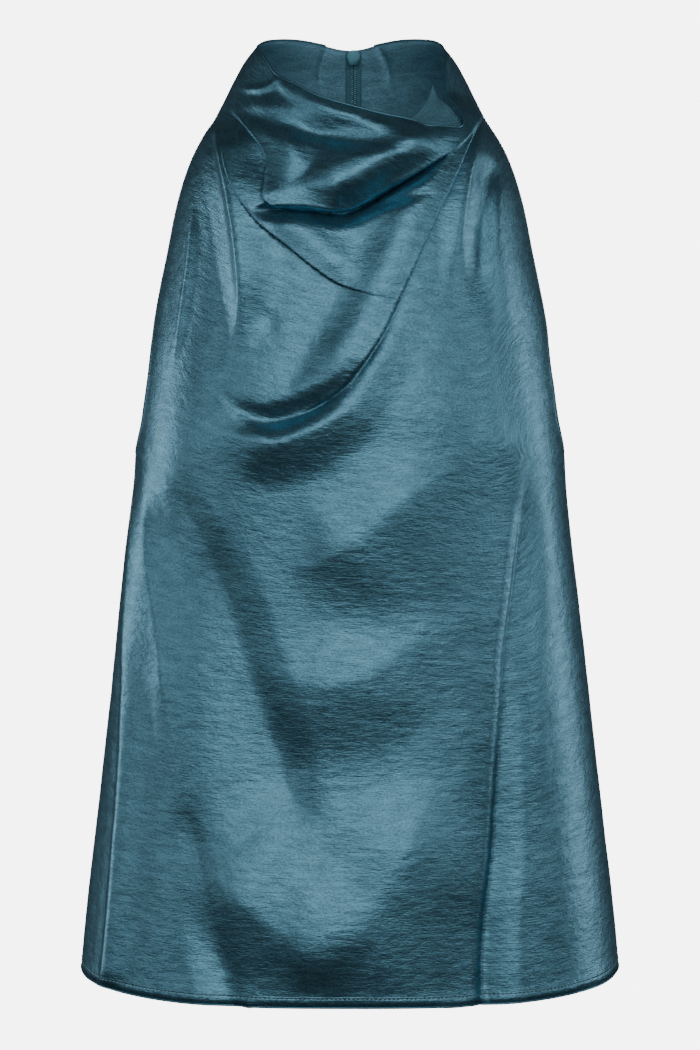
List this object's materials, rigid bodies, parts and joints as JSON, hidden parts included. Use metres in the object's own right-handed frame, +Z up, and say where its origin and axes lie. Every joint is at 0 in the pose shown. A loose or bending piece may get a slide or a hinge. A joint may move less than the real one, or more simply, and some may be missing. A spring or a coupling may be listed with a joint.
{
  "type": "halter top",
  "caption": "Sleeveless A-line halter top in satin with a draped cowl collar, cut-away back and concealed back zip with a turning pull tab.",
  "frame": {"origin": "on the neck's axis at the level where the collar leaves the shoulders, the mount neck_hold", "axes": "+Z up along the body, +Y towards the back, +X towards the wearer's left"},
  "size_m": [0.3762, 0.2514, 0.669],
  "materials": {
    "satin": "crinkled satin with a soft sheen",
    "tape": "matt woven tape",
    "coil": "moulded coil",
    "zip_metal": "baked enamel"
  },
  "bodies": {
    "garment": {"front": "satin", "front_facing": "satin", "back_left": "satin", "back_right": "satin", "zip_tape_left": "tape", "zip_tape_right": "tape", "zip_chain": "coil", "zip_stop": "zip_metal", "zip_slider": "zip_metal"},
    "pull_tab": {"zip_pull": "zip_metal"}
  },
  "joints": [
    {"name": "pull_swing", "type": "hinge", "parent": "garment", "child": "pull_tab", "pos_m": [0.0025, 0.0682, 0.034], "axis": [1, 0, 0], "range_deg": [0, 150]}
  ]
}
